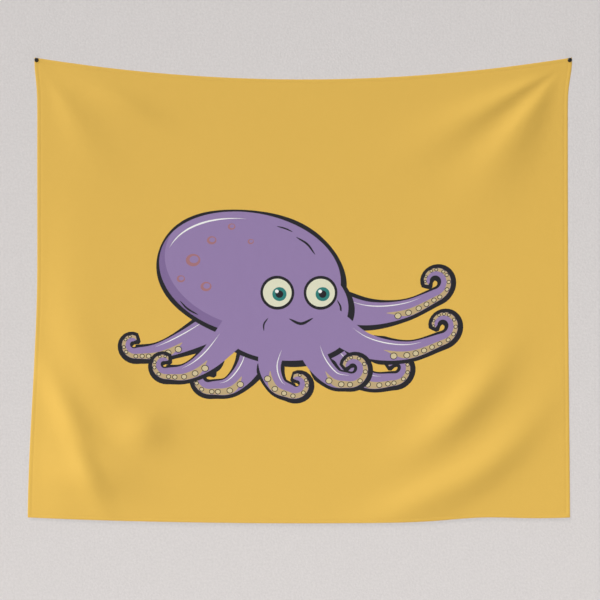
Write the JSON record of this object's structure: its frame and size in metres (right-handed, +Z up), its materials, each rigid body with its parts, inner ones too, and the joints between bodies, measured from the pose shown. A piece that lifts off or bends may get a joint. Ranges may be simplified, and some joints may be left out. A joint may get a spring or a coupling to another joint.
{
  "type": "cloth wall hanging",
  "caption": "Cloth wall hanging printed with an octopus, hemmed on all sides, held by a push pin through each top corner.",
  "frame": {"origin": "on the wall plane, halfway between the two push pins, level with their needles", "axes": "+X to the right as seen by a viewer who faces the wall, +Y into the wall, +Z up; the cloth hangs on the -Y side of the wall plane"},
  "size_m": [1.5334, 0.0499, 1.3121],
  "materials": {
    "cloth": "woven polyester, mustard yellow, matt with a faint sheen, dye-printed with a purple octopus",
    "thread": "spun polyester sewing thread",
    "label": "blank woven satin tape",
    "pin_plastic": "moulded, black, glossy",
    "needle_steel": "bright drawn steel"
  },
  "bodies": {
    "corners": {"left_hem_corner": "cloth", "right_hem_corner": "cloth"},
    "left_pin": {"left_pin_head": "pin_plastic", "left_pin_needle": "needle_steel"},
    "right_pin": {"right_pin_head": "pin_plastic", "right_pin_needle": "needle_steel"},
    "cloth_upper": {"upper_panel": "cloth", "top_hem": "cloth", "top_thread": "thread", "left_upper_hem": "cloth", "left_upper_thread": "thread", "right_upper_hem": "cloth", "right_upper_thread": "thread"},
    "cloth_lower": {"lower_panel": "cloth", "bottom_hem": "cloth", "bottom_thread": "thread", "left_lower_hem": "cloth", "left_lower_thread": "thread", "right_lower_hem": "cloth", "right_lower_thread": "thread", "care_label": "label"}
  },
  "joints": [
    {"name": "left_pin_pull", "type": "slide", "parent": "corners", "child": "left_pin", "axis": [0, -1, 0], "range_m": [0, 0.025]},
    {"name": "right_pin_pull", "type": "slide", "parent": "corners", "child": "right_pin", "axis": [0, -1, 0], "range_m": [0, 0.025]},
    {"name": "cloth_swing", "type": "hinge", "parent": "corners", "child": "cloth_upper", "pos_m": [0, 0, 0.0065], "axis": [-1, 0, 0], "range_deg": [0, 35]},
    {"name": "cloth_fold", "type": "hinge", "parent": "cloth_upper", "child": "cloth_lower", "pos_m": [0, -0.0126, -0.641], "axis": [-1, 0, 0], "range_deg": [0, 150]}
  ]
}
